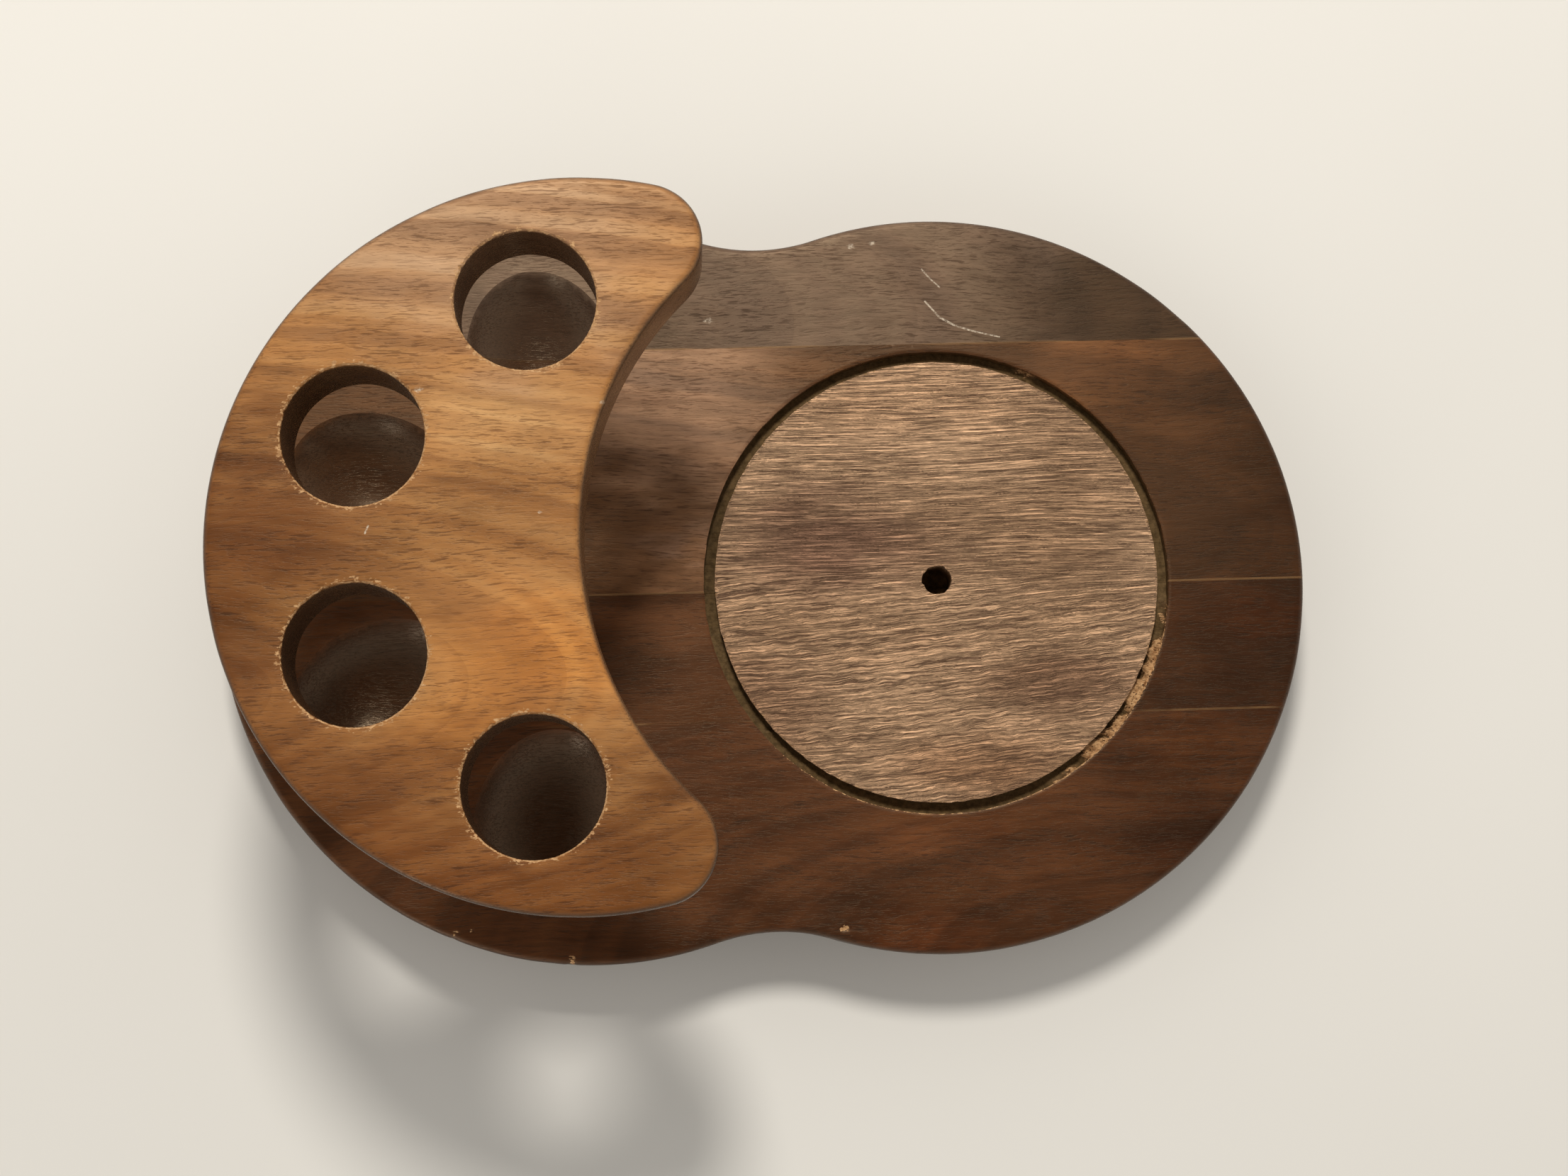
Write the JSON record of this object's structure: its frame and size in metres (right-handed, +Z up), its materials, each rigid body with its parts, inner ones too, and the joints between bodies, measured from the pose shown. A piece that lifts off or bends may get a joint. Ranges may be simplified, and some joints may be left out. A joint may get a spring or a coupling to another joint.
{
  "type": "pipe rack",
  "caption": "Walnut pipe rack: figure-eight base with dished bowl sockets and a ring-grooved jar seat, and a crescent upper shelf on short posts with round stem holes.",
  "frame": {"origin": "on the underside, midway between the centres of the two lobes", "axes": "+Z up; +X from the rack lobe toward the jar lobe, along the grain; +Y to the side"},
  "size_m": [0.2426, 0.166, 0.091],
  "materials": {
    "walnut_board_1": "dark brown walnut, grain along X, satin with worn edges",
    "walnut_board_2": "dark brown walnut, grain along X, satin with worn edges",
    "walnut_board_3": "dark brown walnut, grain along X, satin with worn edges",
    "walnut_board_4": "greyish brown walnut, grain along X, satin with worn edges",
    "shelf_walnut": "light tan to orange walnut top with darker rounded edges, satin",
    "post_walnut": "dark brown walnut, satin",
    "screw_steel": "dull zinc-plated steel"
  },
  "bodies": {
    "root": {"base_board_1": "walnut_board_1", "base_board_2": "walnut_board_2", "base_board_3": "walnut_board_3", "base_board_4": "walnut_board_4", "shelf": "shelf_walnut", "post_1": "post_walnut", "post_2": "post_walnut", "screw_1": "screw_steel", "screw_2": "screw_steel"}
  },
  "joints": []
}
